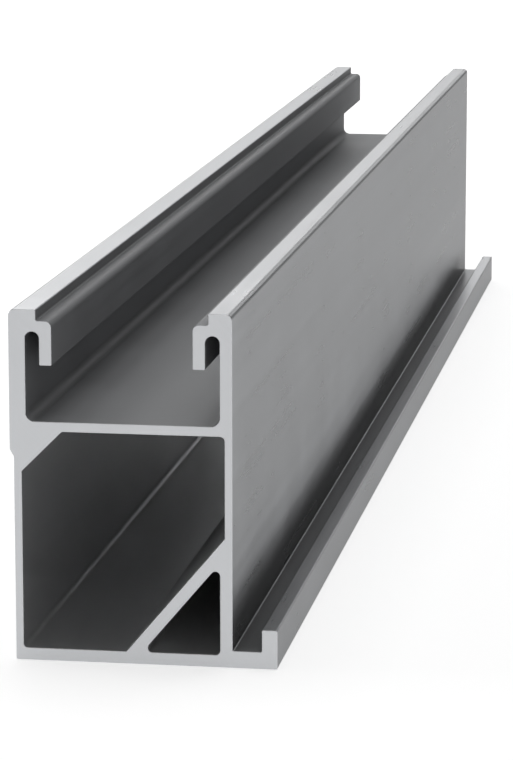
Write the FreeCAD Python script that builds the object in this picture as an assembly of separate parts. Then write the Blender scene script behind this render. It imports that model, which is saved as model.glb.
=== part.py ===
import FreeCAD, Part
import math
import os

# Solar mounting rail: one aluminium extrusion, sawn square at both ends.
# The section lies in the XZ plane and is extruded along Y.
# Sizes are in millimetres. Heights are measured up from the underside.

# Overall
rail_length = 416.0
body_width = 37.0
body_height = 60.0

# Side walls: heavy beside the channel and the corner cell, light beside the big cell
heavy_wall = 2.1
light_wall = 1.3

# Nut channel in the top
channel_depth = 18.95
channel_floor_thickness = 1.65
channel_floor_radius = 1.6

# Lips that hang down on each side of the channel mouth
lip_gap = 2.4
lip_thickness = 2.15
lip_depth = 9.45
lip_roof = 3.75
lip_corner_radius = 1.1

# Top lands, and the step down from each land to its lip
land_width = 4.0
step_drop = 1.9
top_corner_radius = 1.1
step_root_radius = 0.3

# Raised band along the upper part of the left wall, ending below the channel floor
band_thickness = 0.7
band_reach = 4.85
band_run_out = 1.2
band_radius = 0.8

# Hollow base: square and sharp corners are rounder than the blunt ones
base_thickness = 2.1
gusset_leg = 6.9
cell_radius = 0.8
blunt_radius = 0.4

# Sloping brace that cuts the corner cell off from the big cell
brace_angle = 50.0
brace_thickness = 2.1
brace_foot = 13.2

# Foot flange on the right, with an upturned rim
flange_reach = 7.6
flange_thickness = 2.9
rim_thickness = 2.65
rim_height = 6.7
flange_root_radius = 0.3

# Small radius that the die leaves on every other corner
edge_radius = 0.25


# Positions across the section, from the lower left wall's outer face
band_face = -band_thickness
flange_tip = body_width + flange_reach
rim_inner = flange_tip - rim_thickness
channel_left = heavy_wall
channel_right = body_width - heavy_wall
left_lip_outer = channel_left + lip_gap
left_lip_inner = left_lip_outer + lip_thickness
right_lip_outer = channel_right - lip_gap
right_lip_inner = right_lip_outer - lip_thickness

# Heights of the section's levels
step_height = body_height - step_drop
lip_end_height = body_height - lip_depth
slot_top_height = body_height - lip_roof
channel_floor_height = body_height - channel_depth
band_start = channel_floor_height - band_reach
cell_top_height = channel_floor_height - channel_floor_thickness

# The brace's rise for each millimetre across, and its thickness measured level
brace_slope = math.tan(math.radians(brace_angle))
brace_level_thickness = brace_thickness / math.sin(math.radians(brace_angle))


def unit(dx, dz):
    length = math.hypot(dx, dz)
    return dx / length, dz / length


def rounded_corner(before, corner, after):
    """Tangent points and middle point of the arc that rounds one corner."""
    x, z, radius = corner
    in_x, in_z = unit(before[0] - x, before[1] - z)
    out_x, out_z = unit(after[0] - x, after[1] - z)
    half_angle = math.acos(in_x * out_x + in_z * out_z) / 2
    setback = radius / math.tan(half_angle)
    mid_x, mid_z = unit(in_x + out_x, in_z + out_z)
    to_middle = radius / math.sin(half_angle) - radius
    start = FreeCAD.Vector(x + in_x * setback, 0, z + in_z * setback)
    middle = FreeCAD.Vector(x + mid_x * to_middle, 0, z + mid_z * to_middle)
    end = FreeCAD.Vector(x + out_x * setback, 0, z + out_z * setback)
    return start, middle, end


def rounded_face(corners):
    """Flat face inside a closed outline of (x, z, radius) corners."""
    count = len(corners)
    arcs = []
    for i in range(count):
        arcs.append(rounded_corner(corners[i - 1], corners[i], corners[(i + 1) % count]))
    edges = []
    for i in range(count):
        start, middle, end = arcs[i]
        following = arcs[(i + 1) % count][0]
        edges.append(Part.Arc(start, middle, end).toShape())
        if end.distanceToPoint(following) > 1e-6:
            edges.append(Part.LineSegment(end, following).toShape())
    return Part.Face(Part.Wire(edges))


def outer_face():
    """Everything inside the rail's outer skin, with the nut channel open at the top."""
    slot_radius = lip_gap / 2
    right_land_start = body_width - land_width
    return rounded_face([
        (0, 0, edge_radius),
        (flange_tip, 0, edge_radius),
        (flange_tip, rim_height, edge_radius),
        (rim_inner, rim_height, edge_radius),
        (rim_inner, flange_thickness, edge_radius),
        (body_width, flange_thickness, flange_root_radius),
        (body_width, body_height, top_corner_radius),
        (right_land_start, body_height, edge_radius),
        (right_land_start, step_height, step_root_radius),
        (right_lip_inner, step_height, lip_corner_radius),
        (right_lip_inner, lip_end_height, edge_radius),
        (right_lip_outer, lip_end_height, edge_radius),
        (right_lip_outer, slot_top_height, slot_radius),
        (channel_right, slot_top_height, slot_radius),
        (channel_right, channel_floor_height, channel_floor_radius),
        (channel_left, channel_floor_height, channel_floor_radius),
        (channel_left, slot_top_height, slot_radius),
        (left_lip_outer, slot_top_height, slot_radius),
        (left_lip_outer, lip_end_height, edge_radius),
        (left_lip_inner, lip_end_height, edge_radius),
        (left_lip_inner, step_height, lip_corner_radius),
        (land_width, step_height, step_root_radius),
        (land_width, body_height, edge_radius),
        (band_face, body_height, top_corner_radius),
        (band_face, band_start, band_radius),
        (0, band_start - band_run_out, band_radius),
    ])


def big_cell():
    """Main hollow: gusset at the upper left, brace at the lower right."""
    left = light_wall
    right = body_width - light_wall
    foot = body_width - heavy_wall - brace_foot - brace_level_thickness
    brace_top = base_thickness + (right - foot) * brace_slope
    return rounded_face([
        (left, base_thickness, cell_radius),
        (foot, base_thickness, blunt_radius),
        (right, brace_top, blunt_radius),
        (right, cell_top_height, cell_radius),
        (left + gusset_leg, cell_top_height, blunt_radius),
        (left, cell_top_height - gusset_leg, blunt_radius),
    ])


def corner_cell():
    """Three-sided hollow under the brace, beside the flange."""
    right = body_width - heavy_wall
    foot = right - brace_foot
    return rounded_face([
        (foot, base_thickness, cell_radius),
        (right, base_thickness, cell_radius),
        (right, base_thickness + brace_foot * brace_slope, cell_radius),
    ])


def make_rail():
    section = outer_face().cut(Part.makeCompound([big_cell(), corner_cell()]))
    rail = section.Faces[0].extrude(FreeCAD.Vector(0, rail_length, 0))
    middle = (band_face + flange_tip) / 2
    rail.translate(FreeCAD.Vector(-middle, -rail_length / 2, 0))
    return rail


os.makedirs("parts", exist_ok=True)
rail = make_rail()
rail.exportStep("parts/rail.step")
print("rail solids", len(rail.Solids), "valid", rail.isValid(), "volume", round(rail.Volume))
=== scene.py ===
import math
import bpy
from mathutils import Euler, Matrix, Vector


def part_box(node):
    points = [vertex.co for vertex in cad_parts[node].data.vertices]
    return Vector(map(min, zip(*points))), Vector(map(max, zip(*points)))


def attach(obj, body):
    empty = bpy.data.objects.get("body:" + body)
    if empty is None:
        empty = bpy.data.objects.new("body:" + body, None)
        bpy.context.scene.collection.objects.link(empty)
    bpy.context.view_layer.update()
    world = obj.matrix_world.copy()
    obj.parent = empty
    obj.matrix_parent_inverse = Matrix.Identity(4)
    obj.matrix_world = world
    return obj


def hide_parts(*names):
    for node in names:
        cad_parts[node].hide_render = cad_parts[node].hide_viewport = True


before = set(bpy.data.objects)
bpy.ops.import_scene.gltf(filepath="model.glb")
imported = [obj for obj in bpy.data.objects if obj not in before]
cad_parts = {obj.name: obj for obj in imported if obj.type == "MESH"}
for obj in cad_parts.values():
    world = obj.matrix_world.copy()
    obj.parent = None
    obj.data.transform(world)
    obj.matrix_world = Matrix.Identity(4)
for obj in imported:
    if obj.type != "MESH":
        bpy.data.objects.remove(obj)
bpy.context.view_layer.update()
mm = 0.001
scene = bpy.context.scene


# Small helpers

def note(stage):
    print("rail scene:", stage)


# a socket gets another node's output or a plain value

def feed(tree, socket, source):
    if isinstance(source, bpy.types.NodeSocket):
        tree.links.new(source, socket)
    else:
        socket.default_value = source


def addNode(tree, kind, inputs=None, **settings):
    node = tree.nodes.new(kind)
    for name, value in settings.items():
        setattr(node, name, value)
    for socket, source in (inputs or {}).items():
        feed(tree, node.inputs[socket], source)
    return node


def mathOf(tree, operation, *sources):
    node = addNode(tree, "ShaderNodeMath", dict(enumerate(sources)), operation=operation)
    return node.outputs["Value"]


def vectorOf(tree, operation, *sources, result="Vector"):
    node = addNode(tree, "ShaderNodeVectorMath", dict(enumerate(sources)), operation=operation)
    return node.outputs[result]


def scaledOf(tree, vector, factor):
    node = addNode(tree, "ShaderNodeVectorMath", {"Vector": vector, "Scale": factor}, operation="SCALE")
    return node.outputs["Vector"]


# inputs and outputs are given as the socket's name and its kind of value

def startTree(name, kind, inputs, outputs):
    tree = bpy.data.node_groups.new(name, kind)
    for side, sockets in [("INPUT", inputs), ("OUTPUT", outputs)]:
        for socket, value in sockets.items():
            tree.interface.new_socket(socket, in_out=side, socket_type="NodeSocket" + value)
    return tree, addNode(tree, "NodeGroupInput"), addNode(tree, "NodeGroupOutput")


# Camera, from the photograph's perspective

cameraSetup = {
    "place": (103.9 * mm, -757.9 * mm, 155.2 * mm),
    "turnLeft": 8.765,       # degrees away from +Y
    "lookDown": 10.786,      # degrees
    "lens": 163.0,           # mm
    "sensor": 36.0,          # mm, the frame's long side
    "nearClip": 10 * mm,
    "farClip": 50.0,
}


def makeCamera(setup):
    data = bpy.data.cameras.new("railCamera")
    data.sensor_fit = "AUTO"
    data.sensor_width = setup["sensor"]
    data.lens = setup["lens"]
    data.clip_start = setup["nearClip"]
    data.clip_end = setup["farClip"]
    camera = bpy.data.objects.new("railCamera", data)
    camera.location = setup["place"]
    tilt = math.radians(90 - setup["lookDown"])
    camera.rotation_euler = Euler((tilt, 0, math.radians(setup["turnLeft"])))
    scene.collection.objects.link(camera)
    scene.camera = camera


makeCamera(cameraSetup)
scene.view_settings.view_transform = "Standard"
note("camera in place")


# Finishes

skinFinish = {
    "color": (0.66, 0.67, 0.685),
    "colorSwing": 0.09,             # lighter and darker by this share
    "metallic": 0.82,
    "roughness": 0.3,
    "roughnessSwing": 0.05,
    "edgeTint": 0.26,               # how bright the metal stays at a grazing angle
    "linesPerMetre": 500.0,
    "streaksPerMetre": 6.0,         # how often a line changes along the rail
    "lineDepth": 0.005 * mm,
    "cloudsPerMetre": 45.0,
    "edgeWearAndHighlightWidth": 0.3 * mm,
    # painted shade: the base colour darkens within this reach of an inner corner, by this share
    "shadeReach": 9 * mm,            # out from an inner corner
    "shadeDarkness": 0.62,
}

# painted shade: the channel's colour is far darker than the skin's, standing in for the shade inside the
# channel
shadedChannelFinish = {
    "color": (0.36, 0.365, 0.375),
    "colorSwing": 0.09,
    "metallic": 0.5,
    "roughness": 0.54,
    "roughnessSwing": 0.06,
    "edgeTint": 0.08,
    "linesPerMetre": 600.0,
    "streaksPerMetre": 8.0,
    "lineDepth": 0.008 * mm,
    "cloudsPerMetre": 60.0,
    "edgeWearAndHighlightWidth": 0.25 * mm,
    # painted shade in the channel's inner corners
    "shadeReach": 2.5 * mm,
    "shadeDarkness": 0.35,
}

# painted light: the cells' colour is lighter than the skin's, to lift the shade inside the closed hollows
cellFinishWithPaintedLight = {
    "color": (0.76, 0.765, 0.77),
    "colorSwing": 0.05,
    "metallic": 0.75,
    "roughness": 0.34,
    "roughnessSwing": 0.06,
    "edgeTint": 1.0,
    "linesPerMetre": 700.0,
    "streaksPerMetre": 9.0,
    "lineDepth": 0.009 * mm,
    "cloudsPerMetre": 60.0,
    "edgeWearAndHighlightWidth": 0.2 * mm,
    # painted shade in the cells' inner corners
    "shadeReach": 1.5 * mm,
    "shadeDarkness": 0.4,
}

cutFinish = {
    "color": (0.60, 0.61, 0.625),
    "colorSwing": 0.03,
    "metallic": 1.0,
    "roughness": 0.48,
    "roughnessSwing": 0.05,
    "edgeTint": 0.8,
    "bladeCentre": (-140 * mm, 0, -95 * mm),
    "marksPerMetre": 1500.0,
    "markDepth": 0.004 * mm,
    "cloudsPerMetre": 80.0,
}

# how the patterns are drawn and mixed
patternSetup = {
    "noiseRange": (0.3, 0.7),       # nearly all of a noise's values lie between these
    "lineKinds": {"Fine": (1.0, 3.0), "Broad": (0.22, 2.0)},    # scale and detail
    "cloudDetail": 5.0,
    "cloudRoughness": 0.55,
    "markDetail": 3.0,
    "edgeWearAndHighlightRange": (0.98, 0.80),      # match of flat and rounded normal, on flat metal and on a lightened edge
    "edgeWearAndHighlightSamples": 4,
    "shadeRange": (0.8, 0.35),       # openness of an open place and of one where the shade is painted fully
    "shadeSamples": 6,
    "toneShares": {"Broad": 0.35, "Cloud": 0.35, "Fine": 0.3, "Wear And Highlight": 0.3},
    "dullShares": {"Fine": 0.5, "Cloud": 0.5},
    "cutShares": {"Mark": 0.5, "Cloud": 0.5},
}


def rangeOf(tree, source, before, after=(0.0, 1.0)):
    node = addNode(tree, "ShaderNodeMapRange", {
        "Value": source,
        "From Min": before[0],
        "From Max": before[1],
        "To Min": after[0],
        "To Max": after[1],
    })
    return node.outputs["Result"]


# die lines: streaks along the rail's length, fine ones and broad ones

def makeDieLinesGroup(setup):
    group, start, end = startTree("dieLines", "ShaderNodeTree",
                                  {"Lines per metre": "Float", "Streaks per metre": "Float"},
                                  {"Fine": "Float", "Broad": "Float"})
    place = addNode(group, "ShaderNodeTexCoord")
    density = addNode(group, "ShaderNodeCombineXYZ", {
        "X": start.outputs["Lines per metre"],
        "Y": start.outputs["Streaks per metre"],
        "Z": start.outputs["Lines per metre"],
    })
    drawnOut = vectorOf(group, "MULTIPLY", place.outputs["Object"], density.outputs["Vector"])
    for name, (scale, detail) in setup["lineKinds"].items():
        noise = addNode(group, "ShaderNodeTexNoise", {"Vector": drawnOut, "Scale": scale, "Detail": detail})
        feed(group, end.inputs[name], noise.outputs["Fac"])
    return group


# oxide clouds: the faint patches that bare aluminium gets from air and handling

def makeOxideGroup(setup):
    group, start, end = startTree("oxideClouds", "ShaderNodeTree",
                                  {"Clouds per metre": "Float"}, {"Cloud": "Float"})
    place = addNode(group, "ShaderNodeTexCoord")
    noise = addNode(group, "ShaderNodeTexNoise", {
        "Vector": place.outputs["Object"],
        "Scale": start.outputs["Clouds per metre"],
        "Detail": setup["cloudDetail"],
        "Roughness": setup["cloudRoughness"],
    })
    feed(group, end.inputs["Cloud"], noise.outputs["Fac"])
    return group


# edge wear and painted edge highlight: 1 on a sharp corner, 0 on flat metal

def makeEdgeWearAndHighlightGroup(setup):
    group, start, end = startTree("edgeWearAndHighlight", "ShaderNodeTree", {"Width": "Float"}, {"Wear And Highlight": "Float"})
    rounded = addNode(group, "ShaderNodeBevel", {"Radius": start.outputs["Width"]},
                      samples=setup["edgeWearAndHighlightSamples"])
    flat = addNode(group, "ShaderNodeNewGeometry")
    match = vectorOf(group, "DOT_PRODUCT", rounded.outputs["Normal"], flat.outputs["Normal"], result="Value")
    feed(group, end.inputs["Wear And Highlight"], rangeOf(group, match, setup["edgeWearAndHighlightRange"]))
    return group


# painted shade: 1 in a tight corner, where shade falls, 0 in the open

def makeCornerShadeGroup(setup):
    group, start, end = startTree("paintedCornerShade", "ShaderNodeTree", {"Reach": "Float"}, {"Corner Shade": "Float"})
    openness = addNode(group, "ShaderNodeAmbientOcclusion", {"Distance": start.outputs["Reach"]},
                       samples=setup["shadeSamples"], only_local=True)
    feed(group, end.inputs["Corner Shade"], rangeOf(group, openness.outputs["AO"], setup["shadeRange"]))
    return group


dieLines = makeDieLinesGroup(patternSetup)
oxideClouds = makeOxideGroup(patternSetup)
edgeWearAndHighlight = makeEdgeWearAndHighlightGroup(patternSetup)
paintedCornerShade = makeCornerShadeGroup(patternSetup)


def placeGroup(tree, group, inputs):
    return addNode(tree, "ShaderNodeGroup", inputs, node_tree=group).outputs


# sum of the masks, each by its share

def blendOf(tree, masks, shares):
    total = None
    for name, share in shares.items():
        part = mathOf(tree, "MULTIPLY", masks[name], share)
        total = part if total is None else mathOf(tree, "ADD", total, part)
    return total


def colorOf(tree, tone, finish):
    ramp = addNode(tree, "ShaderNodeValToRGB", {"Fac": tone})
    swing = finish["colorSwing"]
    stops = zip(ramp.color_ramp.elements, patternSetup["noiseRange"], [1 - swing, 1 + swing])
    for stop, place, factor in stops:
        stop.position = place
        stop.color = [value * factor for value in finish["color"]] + [1.0]
    return ramp.outputs["Color"]


def roughnessOf(tree, dullness, finish):
    middle = finish["roughness"]
    swing = finish["roughnessSwing"]
    return rangeOf(tree, dullness, patternSetup["noiseRange"], (middle - swing, middle + swing))


def bumpOf(tree, height, depth):
    return addNode(tree, "ShaderNodeBump", {"Height": height, "Distance": depth}).outputs["Normal"]


def startMetal(name, finish):
    material = bpy.data.materials.new(name)
    material.use_nodes = True
    tree = material.node_tree
    surface = tree.nodes["Principled BSDF"].inputs
    tint = finish["edgeTint"]
    feed(tree, surface["Metallic"], finish["metallic"])
    feed(tree, surface["Specular Tint"], (tint, tint, tint, 1.0))
    return material, tree, surface


def makeExtrudedMetal(name, finish):
    material, tree, surface = startMetal(name, finish)
    lines = placeGroup(tree, dieLines, {
        "Lines per metre": finish["linesPerMetre"],
        "Streaks per metre": finish["streaksPerMetre"],
    })
    masks = {
        "Fine": lines["Fine"],
        "Broad": lines["Broad"],
        "Cloud": placeGroup(tree, oxideClouds, {"Clouds per metre": finish["cloudsPerMetre"]})["Cloud"],
        # edge wear and painted edge highlight: sharp edges lighten the tone
        "Wear And Highlight": placeGroup(tree, edgeWearAndHighlight, {"Width": finish["edgeWearAndHighlightWidth"]})["Wear And Highlight"],
    }
    metalColor = colorOf(tree, blendOf(tree, masks, patternSetup["toneShares"]), finish)
    # painted shade: the base colour is darkened in inner corners and recesses, where shade falls
    cornerShade = placeGroup(tree, paintedCornerShade, {"Reach": finish["shadeReach"]})["Corner Shade"]
    shadeFactor = mathOf(tree, "SUBTRACT", 1.0, mathOf(tree, "MULTIPLY", cornerShade, finish["shadeDarkness"]))
    feed(tree, surface["Base Color"], scaledOf(tree, metalColor, shadeFactor))
    dullness = blendOf(tree, masks, patternSetup["dullShares"])
    feed(tree, surface["Roughness"], roughnessOf(tree, dullness, finish))
    feed(tree, surface["Normal"], bumpOf(tree, masks["Fine"], finish["lineDepth"]))
    return material


# saw marks: arcs about the blade's centre, which is far off to one side

def makeSawnMetal(name, finish):
    material, tree, surface = startMetal(name, finish)
    place = addNode(tree, "ShaderNodeTexCoord")
    fromBlade = vectorOf(tree, "SUBTRACT", place.outputs["Object"], finish["bladeCentre"])
    inCut = vectorOf(tree, "MULTIPLY", fromBlade, (1, 0, 1))
    marks = addNode(tree, "ShaderNodeTexNoise", noise_dimensions="1D")
    feed(tree, marks.inputs["W"], vectorOf(tree, "LENGTH", inCut, result="Value"))
    feed(tree, marks.inputs["Scale"], finish["marksPerMetre"])
    feed(tree, marks.inputs["Detail"], patternSetup["markDetail"])
    masks = {
        "Mark": marks.outputs["Fac"],
        "Cloud": placeGroup(tree, oxideClouds, {"Clouds per metre": finish["cloudsPerMetre"]})["Cloud"],
    }
    tone = blendOf(tree, masks, patternSetup["cutShares"])
    feed(tree, surface["Base Color"], colorOf(tree, tone, finish))
    feed(tree, surface["Roughness"], roughnessOf(tree, tone, finish))
    feed(tree, surface["Normal"], bumpOf(tree, masks["Mark"], finish["markDepth"]))
    return material


skinMetal = makeExtrudedMetal("millSkin", skinFinish)
shadedChannelMetal = makeExtrudedMetal("channelWallPaintedShade", shadedChannelFinish)
cellMetalWithPaintedLight = makeExtrudedMetal("cellWallPaintedLight", cellFinishWithPaintedLight)
cutMetal = makeSawnMetal("sawnEnd", cutFinish)
note("finishes made")


# Rail: its section as corners with a radius each, swept along Y

railSizes = {
    "bodyWidth": 37.0,          # millimetres, where nothing else is said
    "bodyHeight": 60.0,
    "heavyWall": 2.1,
    "lightWall": 1.3,
    "channelDepth": 18.95,
    "channelFloor": 1.65,
    "channelRadius": 1.6,
    "lipGap": 2.4,
    "lipThickness": 2.15,
    "lipDepth": 9.45,
    "lipRoof": 3.75,
    "lipRadius": 1.1,
    "landWidth": 4.0,
    "stepDrop": 1.9,
    "topRadius": 1.1,
    "stepRadius": 0.3,
    "bandThickness": 0.7,
    "bandReach": 4.85,
    "bandRunOut": 1.2,
    "bandRadius": 0.8,
    "base": 2.1,
    "gussetLeg": 6.9,
    "cellRadius": 0.8,
    "bluntRadius": 0.4,
    "braceAngle": 50.0,         # degrees
    "braceThickness": 2.1,
    "braceFoot": 13.2,
    "flangeReach": 7.6,
    "flangeThickness": 2.9,
    "rimThickness": 2.65,
    "rimHeight": 6.7,
    "flangeRadius": 0.3,
    "edgeRadius": 0.25,
    "sawChamfer": 0.08,
    "wallMargin": 0.01,         # widens the channel's box, so that its own walls lie inside
    "landEdge": 0.4,            # below the lands, still with the skin's finish
    "sewDistance": 0.0005,
    "sharpAngle": 30.0,         # degrees between faces that keep a sharp edge
    "cornerSteps": 8,           # segments in each rounded corner
}


# corners are (x, z, radius) in millimetres, in order counter-clockwise as seen from the near end

def skinCorners(sizes):
    right = sizes["bodyWidth"]
    top = sizes["bodyHeight"]
    tip = right + sizes["flangeReach"]
    rim = tip - sizes["rimThickness"]
    edge = sizes["edgeRadius"]
    slot = sizes["lipGap"] / 2
    floor = top - sizes["channelDepth"]
    bandEnd = floor - sizes["bandReach"]
    step = top - sizes["stepDrop"]
    lipEnd = top - sizes["lipDepth"]
    slotTop = top - sizes["lipRoof"]
    leftWall = sizes["heavyWall"]
    leftOuter = leftWall + sizes["lipGap"]
    leftInner = leftOuter + sizes["lipThickness"]
    rightWall = right - sizes["heavyWall"]
    rightOuter = rightWall - sizes["lipGap"]
    rightInner = rightOuter - sizes["lipThickness"]
    return [
        (0, 0, edge),
        (tip, 0, edge),
        (tip, sizes["rimHeight"], edge),
        (rim, sizes["rimHeight"], edge),
        (rim, sizes["flangeThickness"], edge),
        (right, sizes["flangeThickness"], sizes["flangeRadius"]),
        (right, top, sizes["topRadius"]),
        (right - sizes["landWidth"], top, edge),
        (right - sizes["landWidth"], step, sizes["stepRadius"]),
        (rightInner, step, sizes["lipRadius"]),
        (rightInner, lipEnd, edge),
        (rightOuter, lipEnd, edge),
        (rightOuter, slotTop, slot),
        (rightWall, slotTop, slot),
        (rightWall, floor, sizes["channelRadius"]),
        (leftWall, floor, sizes["channelRadius"]),
        (leftWall, slotTop, slot),
        (leftOuter, slotTop, slot),
        (leftOuter, lipEnd, edge),
        (leftInner, lipEnd, edge),
        (leftInner, step, sizes["lipRadius"]),
        (sizes["landWidth"], step, sizes["stepRadius"]),
        (sizes["landWidth"], top, edge),
        (-sizes["bandThickness"], top, sizes["topRadius"]),
        (-sizes["bandThickness"], bandEnd, sizes["bandRadius"]),
        (0, bandEnd - sizes["bandRunOut"], sizes["bandRadius"]),
    ]


# the big cell and the corner cell run clockwise, so that their walls face into them

def cellCorners(sizes):
    slope = math.tan(math.radians(sizes["braceAngle"]))
    level = sizes["braceThickness"] / math.sin(math.radians(sizes["braceAngle"]))
    base = sizes["base"]
    ceiling = sizes["bodyHeight"] - sizes["channelDepth"] - sizes["channelFloor"]
    left = sizes["lightWall"]
    right = sizes["bodyWidth"] - sizes["lightWall"]
    heavyRight = sizes["bodyWidth"] - sizes["heavyWall"]
    lowerFoot = heavyRight - sizes["braceFoot"]
    upperFoot = lowerFoot - level
    bigCell = [
        (left, base, sizes["cellRadius"]),
        (left, ceiling - sizes["gussetLeg"], sizes["bluntRadius"]),
        (left + sizes["gussetLeg"], ceiling, sizes["bluntRadius"]),
        (right, ceiling, sizes["cellRadius"]),
        (right, base + (right - upperFoot) * slope, sizes["bluntRadius"]),
        (upperFoot, base, sizes["bluntRadius"]),
    ]
    cornerCell = [
        (lowerFoot, base, sizes["cellRadius"]),
        (heavyRight, base + sizes["braceFoot"] * slope, sizes["cellRadius"]),
        (heavyRight, base, sizes["cellRadius"]),
    ]
    return [bigCell, cornerCell]


# a flat curve with a closed spline for the skin and one for each cell; a point's radius is its corner's

def makeSection(sizes):
    data = bpy.data.curves.new("railSection", "CURVE")
    data.dimensions = "3D"
    middle = (sizes["bodyWidth"] + sizes["flangeReach"] - sizes["bandThickness"]) / 2
    for corners in [skinCorners(sizes), *cellCorners(sizes)]:
        spline = data.splines.new("POLY")
        spline.points.add(len(corners) - 1)
        spline.use_cyclic_u = True
        for point, (x, z, radius) in zip(spline.points, corners):
            point.co = ((x - middle) * mm, z * mm, 0, 1)
            point.radius = radius * mm
    section = bpy.data.objects.new("railSection", data)
    scene.collection.objects.link(section)
    return section


def capture(tree, geometry, domain, kind, name, value):
    node = addNode(tree, "GeometryNodeCaptureAttribute", domain=domain)
    node.capture_items.new(kind, name)
    feed(tree, node.inputs["Geometry"], geometry)
    feed(tree, node.inputs[name], value)
    return node.outputs["Geometry"], node.outputs[name]


# rounds the corners; a point then knows which outline it is on, and which way is out of the metal

def roundSection(tree, given):
    rounded = addNode(tree, "GeometryNodeFilletCurve", {
        "Curve": given["Geometry"],
        "Count": given["Corner Steps"],
        "Radius": addNode(tree, "GeometryNodeInputRadius").outputs["Radius"],
    }, mode="POLY")
    index = addNode(tree, "GeometryNodeInputIndex").outputs["Index"]
    marked, outline = capture(tree, rounded.outputs["Curve"], "CURVE", "INT", "Outline", index)
    tangent = addNode(tree, "GeometryNodeInputTangent").outputs["Tangent"]
    sideways = vectorOf(tree, "CROSS_PRODUCT", tangent, (0, 0, 1))
    aimed, outward = capture(tree, marked, "POINT", "VECTOR", "Outward", sideways)
    return aimed, outline, outward


# puts the flat section upright at the near end

def standUp(tree, given, flat):
    nearEnd = addNode(tree, "ShaderNodeCombineXYZ", {"Y": mathOf(tree, "MULTIPLY", given["Length"], -0.5)})
    upright = addNode(tree, "GeometryNodeTransform", {
        "Geometry": flat,
        "Translation": nearEnd.outputs["Vector"],
        "Rotation": (math.pi / 2, 0, 0),
    })
    return upright.outputs["Geometry"]


# a ring for the saw chamfer, outwards and along Y alike, and then walls as far as mid-length

def raiseWalls(tree, given, wire, outward, inward):
    across = addNode(tree, "ShaderNodeSeparateXYZ", {"Vector": outward})
    slant = addNode(tree, "ShaderNodeCombineXYZ", {
        "X": across.outputs["X"],
        "Y": 1.0,
        "Z": across.outputs["Y"],
    })
    ring = addNode(tree, "GeometryNodeExtrudeMesh", {
        "Mesh": wire,
        "Offset": slant.outputs["Vector"],
        "Offset Scale": given["Chamfer"],
    }, mode="EDGES")
    alongRail = addNode(tree, "ShaderNodeCombineXYZ", {"Y": 1.0})
    walls = addNode(tree, "GeometryNodeExtrudeMesh", {
        "Mesh": ring.outputs["Mesh"],
        "Selection": ring.outputs["Top"],
        "Offset": alongRail.outputs["Vector"],
        "Offset Scale": mathOf(tree, "MULTIPLY_ADD", given["Length"], 0.5, inward),
    }, mode="EDGES")
    return walls.outputs["Mesh"]


# 1 where a wall lies between the two corners of a box, across the rail and in height

def insideBox(tree, low, high):
    place = addNode(tree, "GeometryNodeInputPosition").outputs["Position"]
    inside = None
    for corner, test in [(low, "GREATER_THAN"), (high, "LESS_THAN")]:
        wall = addNode(tree, "ShaderNodeSeparateXYZ", {"Vector": place})
        limit = addNode(tree, "ShaderNodeSeparateXYZ", {"Vector": corner})
        for axis in ["X", "Z"]:
            passed = mathOf(tree, test, wall.outputs[axis], limit.outputs[axis])
            inside = passed if inside is None else mathOf(tree, "MULTIPLY", inside, passed)
    return inside


def paint(tree, geometry, material, where=True):
    inputs = {"Geometry": geometry, "Selection": where, "Material": material}
    return addNode(tree, "GeometryNodeSetMaterial", inputs).outputs["Geometry"]


def joinOf(tree, *parts):
    node = addNode(tree, "GeometryNodeJoinGeometry")
    for part in parts:
        feed(tree, node.inputs["Geometry"], part)
    return node.outputs["Geometry"]


# the sweep runs the rounded section along Y and closes both ends behind a tiny saw chamfer

def makeSweepTree():
    tree, start, end = startTree("railSweep", "GeometryNodeTree", {
        "Geometry": "Geometry",
        "Length": "Float",
        "Chamfer": "Float",
        "Sew Distance": "Float",
        "Corner Steps": "Int",
        "Channel Low": "Vector",
        "Channel High": "Vector",
        "Skin": "Material",
        "Shaded Channel": "Material",
        "Cells With Painted Light": "Material",
        "Ends": "Material",
    }, {"Geometry": "Geometry"})
    given = start.outputs
    section, outline, outward = roundSection(tree, given)

    # the end's outline lies inside the metal by the chamfer
    inward = mathOf(tree, "MULTIPLY", given["Chamfer"], -1.0)
    inset = addNode(tree, "GeometryNodeSetPosition", {
        "Geometry": section,
        "Offset": scaledOf(tree, outward, inward),
    }).outputs["Geometry"]
    cap = addNode(tree, "GeometryNodeFillCurve", {"Curve": inset}, mode="TRIANGLES").outputs["Mesh"]
    nearEnd = paint(tree, standUp(tree, given, cap), given["Ends"])
    wire = addNode(tree, "GeometryNodeCurveToMesh", {"Curve": inset}).outputs["Mesh"]
    walls = raiseWalls(tree, given, standUp(tree, given, wire), outward, inward)
    walls = paint(tree, walls, given["Skin"])
    # the channel's faces get the finish with painted shade
    walls = paint(tree, walls, given["Shaded Channel"], insideBox(tree, given["Channel Low"], given["Channel High"]))
    inCell = mathOf(tree, "GREATER_THAN", outline, 0.5)     # the skin is outline 0
    # the cells' faces get the finish with painted light
    walls = paint(tree, walls, given["Cells With Painted Light"], inCell)

    # the far half mirrors the near half
    nearHalf = joinOf(tree, walls, nearEnd)
    mirrored = addNode(tree, "GeometryNodeTransform", {"Geometry": nearHalf, "Scale": (1, -1, 1)})
    farHalf = addNode(tree, "GeometryNodeFlipFaces", {"Mesh": mirrored.outputs["Geometry"]})
    sewn = addNode(tree, "GeometryNodeMergeByDistance", {
        "Geometry": joinOf(tree, nearHalf, farHalf.outputs["Mesh"]),
        "Distance": given["Sew Distance"],
    })
    real = addNode(tree, "GeometryNodeRealizeInstances", {"Geometry": sewn.outputs["Geometry"]})
    feed(tree, end.inputs["Geometry"], real.outputs["Geometry"])
    return tree


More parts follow.
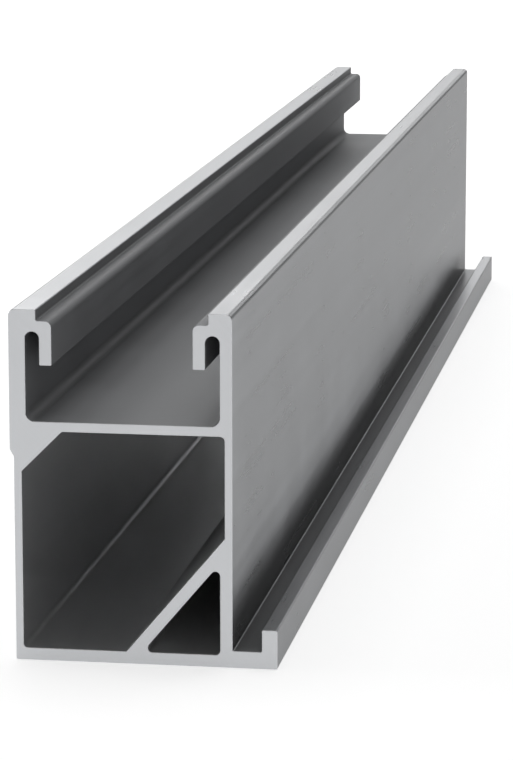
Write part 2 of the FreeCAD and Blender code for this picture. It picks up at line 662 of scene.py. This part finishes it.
def addSweep(section, sizes):
    low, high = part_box("rail")
    leftWall = low.x + (sizes["bandThickness"] + sizes["heavyWall"] - sizes["wallMargin"]) * mm
    rightWall = high.x - (sizes["flangeReach"] + sizes["heavyWall"] - sizes["wallMargin"]) * mm
    floor = (sizes["bodyHeight"] - sizes["channelDepth"] - sizes["wallMargin"]) * mm
    inputs = {
        "Length": high.y - low.y,
        "Chamfer": sizes["sawChamfer"] * mm,
        "Sew Distance": sizes["sewDistance"] * mm,
        "Corner Steps": sizes["cornerSteps"],
        "Channel Low": (leftWall, -1, floor),
        "Channel High": (rightWall, 1, high.z - sizes["landEdge"] * mm),
        "Skin": skinMetal,
        "Shaded Channel": shadedChannelMetal,
        "Cells With Painted Light": cellMetalWithPaintedLight,
        "Ends": cutMetal,
    }
    sweep = section.modifiers.new("sweep", "NODES")
    sweep.node_group = makeSweepTree()
    for item in sweep.node_group.interface.items_tree:
        if item.in_out == "INPUT" and item.name in inputs:
            sweep[item.identifier] = inputs[item.name]


def plainMesh(piece):
    graph = bpy.context.evaluated_depsgraph_get()
    return bpy.data.meshes.new_from_object(piece.evaluated_get(graph))


def makeRail(sizes):
    section = makeSection(sizes)
    addSweep(section, sizes)
    swept = plainMesh(section)
    bpy.data.objects.remove(section)
    swept.set_sharp_from_angle(angle=math.radians(sizes["sharpAngle"]))
    rail = bpy.data.objects.new("railBody", swept)
    scene.collection.objects.link(rail)

    # flats keep their own normal beside the radii
    weighted = rail.modifiers.new("flatShading", "WEIGHTED_NORMAL")
    weighted.keep_sharp = True
    mesh = plainMesh(rail)
    rail.modifiers.clear()
    rail.data = mesh
    mesh.name = "railBody"
    bpy.data.meshes.remove(swept)
    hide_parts("rail")
    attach(rail, "root")
    note("rail made, " + str(len(mesh.polygons)) + " faces")


makeRail(railSizes)


# Floor, background and light

stageSetup = {
    "floorSize": 30.0,
    "floorDrop": 0.02 * mm,         # clear of the rail's underside
    "floorColor": (0.8, 0.8, 0.8, 1.0),
    "floorRoughness": 0.9,
    "floorGlow": 0.6,
    "worldLight": 0.2,
    "white": (1, 1, 1, 1),
}


# 1 for camera, glossy and transmission rays, 0 for the rays that light the object

def seenByEye(tree):
    path = addNode(tree, "ShaderNodeLightPath").outputs
    cameraOrGloss = mathOf(tree, "MAXIMUM", path["Is Camera Ray"], path["Is Glossy Ray"])
    return mathOf(tree, "MAXIMUM", cameraOrGloss, path["Is Transmission Ray"])


def makeWorld(setup):
    world = bpy.data.worlds.new("studio")
    world.use_nodes = True
    background = world.node_tree.nodes["Background"].inputs
    feed(world.node_tree, background["Color"], setup["white"])
    feed(world.node_tree, background["Strength"], setup["worldLight"])
    scene.world = world


def makeFloor(setup):
    half = setup["floorSize"] / 2
    corners = [(-half, -half, 0), (half, -half, 0), (half, half, 0), (-half, half, 0)]
    mesh = bpy.data.meshes.new("floor")
    mesh.from_pydata(corners, [], [(0, 1, 2, 3)])
    floor = bpy.data.objects.new("floor", mesh)
    floor.location.z = -setup["floorDrop"]
    scene.collection.objects.link(floor)
    material = bpy.data.materials.new("paleFloor")
    material.use_nodes = True
    tree = material.node_tree
    surface = tree.nodes["Principled BSDF"].inputs
    feed(tree, surface["Base Color"], setup["floorColor"])
    feed(tree, surface["Roughness"], setup["floorRoughness"])
    feed(tree, surface["Specular IOR Level"], 0.0)
    feed(tree, surface["Emission Color"], setup["white"])
    feed(tree, surface["Emission Strength"], mathOf(tree, "MULTIPLY", seenByEye(tree), setup["floorGlow"]))
    mesh.materials.append(material)


lamps = {
    "overhead": {"place": (0.02, 0.15, 1.30), "aim": (0, 0, 0.03), "size": (1.20, 1.20), "power": 6.0},
    "left": {"place": (-1.00, 0.00, 0.40), "aim": (0, 0, 0.03), "size": (0.60, 0.50), "power": 2.4},
    "front": {"place": (0.00, -1.60, 0.12), "aim": (0, -0.2, 0.03), "size": (1.00, 0.16), "power": 1.55},
    "back": {"place": (-0.24, 1.32, 0.40), "aim": (0, 0, 0.05), "size": (0.50, 0.29), "power": 2.15},
    "backLeft": {"place": (-0.50, 1.32, 0.35), "aim": (0, 0, 0.05), "size": (0.30, 0.42), "power": 0.66},
    "backRight": {"place": (0.16, 1.32, 0.28), "aim": (0, 0, 0.05), "size": (0.29, 0.22), "power": 0.6},
}


def makeLamp(name, setup):
    data = bpy.data.lights.new(name, "AREA")
    data.shape = "RECTANGLE"
    data.size, data.size_y = setup["size"]
    data.energy = setup["power"]
    lamp = bpy.data.objects.new(name, data)
    lamp.location = setup["place"]
    towards = Vector(setup["aim"]) - Vector(setup["place"])
    lamp.rotation_euler = towards.to_track_quat("-Z", "Y").to_euler()
    lamp.visible_camera = False
    scene.collection.objects.link(lamp)


makeWorld(stageSetup)
makeFloor(stageSetup)
for name, setup in lamps.items():
    makeLamp(name, setup)
note("stage lit")
